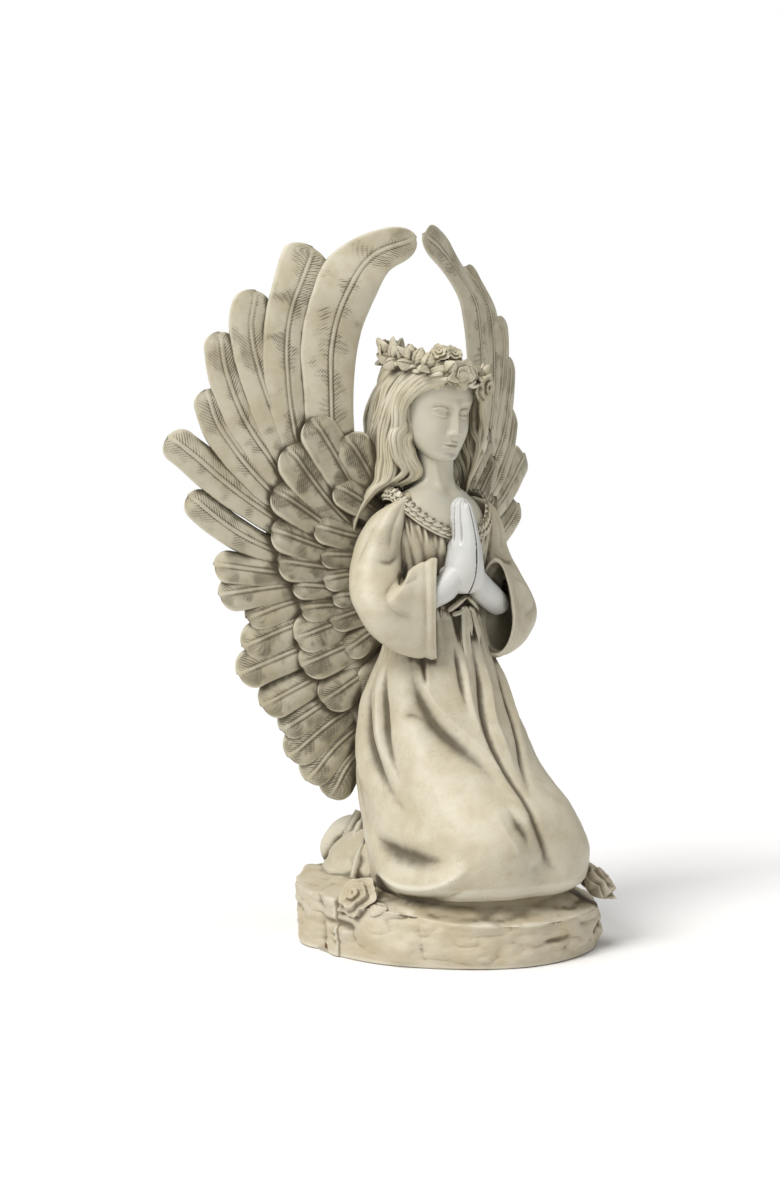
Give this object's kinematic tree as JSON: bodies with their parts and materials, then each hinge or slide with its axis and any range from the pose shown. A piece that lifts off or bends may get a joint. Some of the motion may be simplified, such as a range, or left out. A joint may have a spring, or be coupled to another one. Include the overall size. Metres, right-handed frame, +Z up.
{
  "type": "angel statue",
  "caption": "Kneeling angel statue with raised feathered wings, flowing robe, praying hands and rose wreath on a rough rock plinth.",
  "frame": {"origin": "centre of the plinth's underside, on the ground", "axes": "+Z up, -Y the way the angel faces, +X towards the angel's left hand"},
  "size_m": [0.3792, 0.244, 0.5462],
  "materials": {
    "stone_resin": "cast polyresin, cream paint with a brown-grey antique wash",
    "white_resin": "white cast resin, satin",
    "plated_steel": "zinc plated",
    "felt": "pressed felt",
    "board": "hardboard"
  },
  "bodies": {
    "root": {"plinth": "stone_resin", "bottom_plate": "board", "bottom_plate_screws": "plated_steel", "felt_pad": "felt", "robe_skirt": "stone_resin", "robe_train": "stone_resin", "robe_bodice": "stone_resin", "waist_sash": "stone_resin", "collar_ruffle": "stone_resin", "right_sleeve": "stone_resin", "left_sleeve": "stone_resin", "right_hand": "white_resin", "left_hand": "white_resin", "head": "stone_resin", "hair": "stone_resin", "wreath_band": "stone_resin", "wreath_roses": "stone_resin", "wreath_leaves": "stone_resin", "right_wing": "stone_resin", "left_wing": "stone_resin", "wing_pins": "plated_steel", "neck_dowel": "plated_steel", "waist_dowel": "plated_steel", "plinth_rose_right": "stone_resin", "plinth_rose_left": "stone_resin"}
  },
  "joints": []
}
